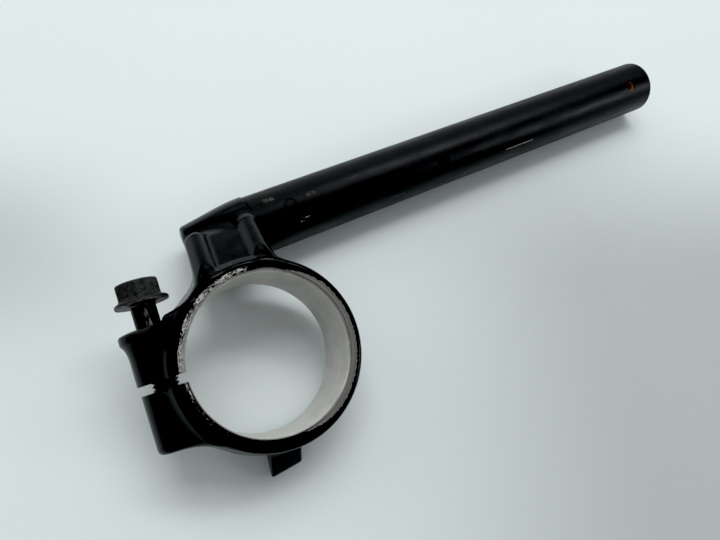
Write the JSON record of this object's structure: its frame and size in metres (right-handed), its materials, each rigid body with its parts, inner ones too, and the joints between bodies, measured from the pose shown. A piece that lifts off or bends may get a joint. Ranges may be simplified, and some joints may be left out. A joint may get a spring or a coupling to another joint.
{
  "type": "clip-on handlebar",
  "caption": "Split fork clamp cast with a ribbed neck and a tapered boss, a straight bar tube on the boss and a backed-off flange bolt across the split.",
  "frame": {"origin": "middle of the fork bore, on its axis, half-way between the rims of the ring", "axes": "+Z along the fork bore, to the face with the ribbed neck; +X out along the bar, seen square to the bore; +Y from the bore to the boss and the bar"},
  "size_m": [0.2525, 0.0931, 0.0451],
  "materials": {
    "clamp_paint": "gloss black paint on cast aluminium, bare metal in the bore",
    "bar_paint": "satin black paint on steel tube",
    "bolt_steel": "dark oxide, worn and dusty"
  },
  "bodies": {
    "root": {"clamp": "clamp_paint", "bar_tube": "bar_paint", "pinch_bolt": "bolt_steel"}
  },
  "joints": []
}
